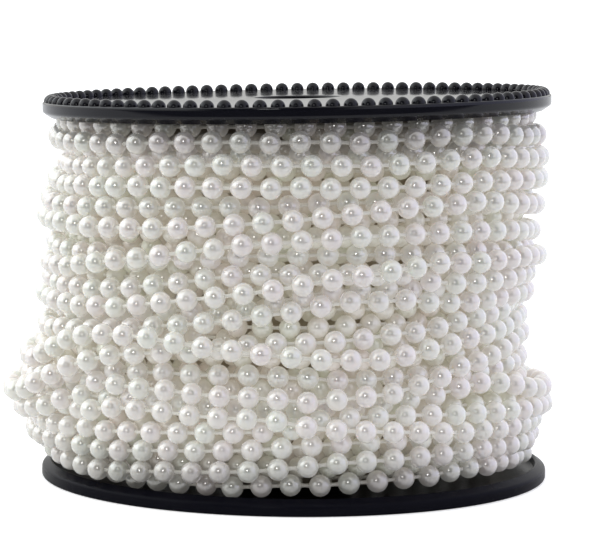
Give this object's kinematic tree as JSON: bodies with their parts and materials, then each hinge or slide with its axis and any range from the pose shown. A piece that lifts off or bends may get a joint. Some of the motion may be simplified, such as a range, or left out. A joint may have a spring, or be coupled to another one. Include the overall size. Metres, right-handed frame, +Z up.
{
  "type": "pearl bead string on a flanged spool",
  "caption": "Pearl bead string wound in uneven layered turns on a black plastic spool with two round flanges, domes along the upper rim and a bore through its axis.",
  "frame": {"origin": "on the surface that the spool stands on, under the middle of the whole object's box; the spool's own axis stands 3.1 mm towards +X of it", "axes": "+Z up along the spool's axis, from the plain flange to the domed one, -Y towards the viewer of the picture, +X to the viewer's right"},
  "size_m": [0.111, 0.1052, 0.0795],
  "materials": {
    "pearl": "off-white pearl lustre with a faint green and pink sheen",
    "black_plastic": "moulded black plastic, glossy on the flat faces and satin on the rounded rims"
  },
  "bodies": {
    "root": {"winding": "pearl", "top_flange": "black_plastic", "bottom_flange": "black_plastic", "hub_tube": "black_plastic"}
  },
  "joints": []
}
